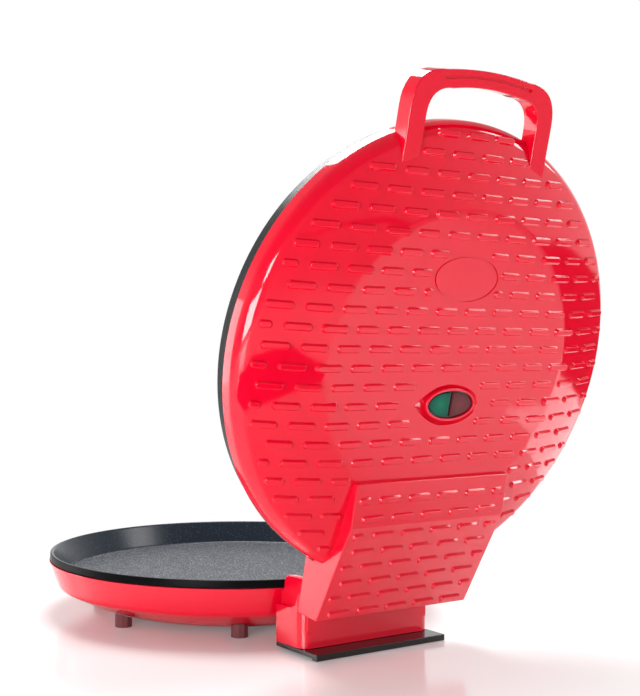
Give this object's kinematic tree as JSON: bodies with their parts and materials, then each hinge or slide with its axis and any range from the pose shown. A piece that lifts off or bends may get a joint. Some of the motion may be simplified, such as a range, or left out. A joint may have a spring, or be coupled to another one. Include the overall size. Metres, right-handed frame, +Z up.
{
  "type": "electric pizza maker",
  "caption": "Countertop pizza maker: round bowl base with a cast pan, rear hinge block, and a domed hinged lid with an arch handle, a lamp window and an upper heated plate.",
  "frame": {"origin": "middle of the whole cooker's footprint on the table, with the lid open", "axes": "+X to the right of a user who faces the handle side, -Y towards that user, +Y towards the hinge, +Z up"},
  "size_m": [0.329, 0.4792, 0.4111],
  "materials": {
    "red_plastic": "gloss",
    "non_stick_plate": "speckled non-stick coating",
    "black_plastic": "satin",
    "foot_rubber": "matt",
    "fastener_steel": "zinc plated",
    "sheet_steel": "plain sheet",
    "element_steel": "heat darkened",
    "ceramic": "unglazed",
    "green_lens": "translucent gloss",
    "red_lens": "translucent gloss",
    "nylon": "smooth",
    "lamp_glass": "clear"
  },
  "bodies": {
    "base": {"base_housing": "red_plastic", "lower_plate": "non_stick_plate", "lower_heating_element": "element_steel", "lower_heat_shield": "sheet_steel", "lower_element_clip_1": "sheet_steel", "lower_element_clip_2": "sheet_steel", "lower_element_clip_3": "sheet_steel", "lower_thermostat": "ceramic", "thermal_fuse": "fastener_steel", "terminal_block": "ceramic", "foot_right": "foot_rubber", "foot_rear_right": "foot_rubber", "foot_rear_left": "foot_rubber", "foot_left": "foot_rubber", "foot_front_left": "foot_rubber", "foot_front_right": "foot_rubber", "rear_foot_plate": "black_plastic", "foot_plate_screw_right": "fastener_steel", "foot_plate_screw_left": "fastener_steel", "base_screw_1": "fastener_steel", "base_screw_2": "fastener_steel", "base_screw_3": "fastener_steel", "base_screw_4": "fastener_steel", "cord_gland": "black_plastic", "hinge_pin_right": "fastener_steel", "hinge_pin_left": "fastener_steel"},
    "lid": {"lid_cover": "red_plastic", "upper_plate": "non_stick_plate", "upper_heating_element": "element_steel", "upper_heat_shield": "sheet_steel", "upper_element_clip_1": "sheet_steel", "upper_element_clip_2": "sheet_steel", "upper_element_clip_3": "sheet_steel", "upper_thermostat": "ceramic", "tail_inner_cover": "black_plastic", "hinge_bush_right": "nylon", "hinge_bush_left": "nylon", "tail_screw_right": "fastener_steel", "tail_screw_left": "fastener_steel", "handle_outer": "red_plastic", "handle_inner": "red_plastic", "handle_screw_right": "fastener_steel", "handle_screw_left": "fastener_steel", "handle_mount_screw_right": "fastener_steel", "handle_mount_screw_left": "fastener_steel", "green_lamp_lens": "green_lens", "red_lamp_lens": "red_lens", "lamp_holder": "black_plastic", "neon_lamp_green": "lamp_glass", "neon_lamp_red": "lamp_glass"}
  },
  "joints": [
    {"name": "lid_hinge", "type": "hinge", "parent": "base", "child": "lid", "pos_m": [0, 0.10702, 0.0454], "axis": [1, 0, 0], "range_deg": [0, 104]}
  ]
}
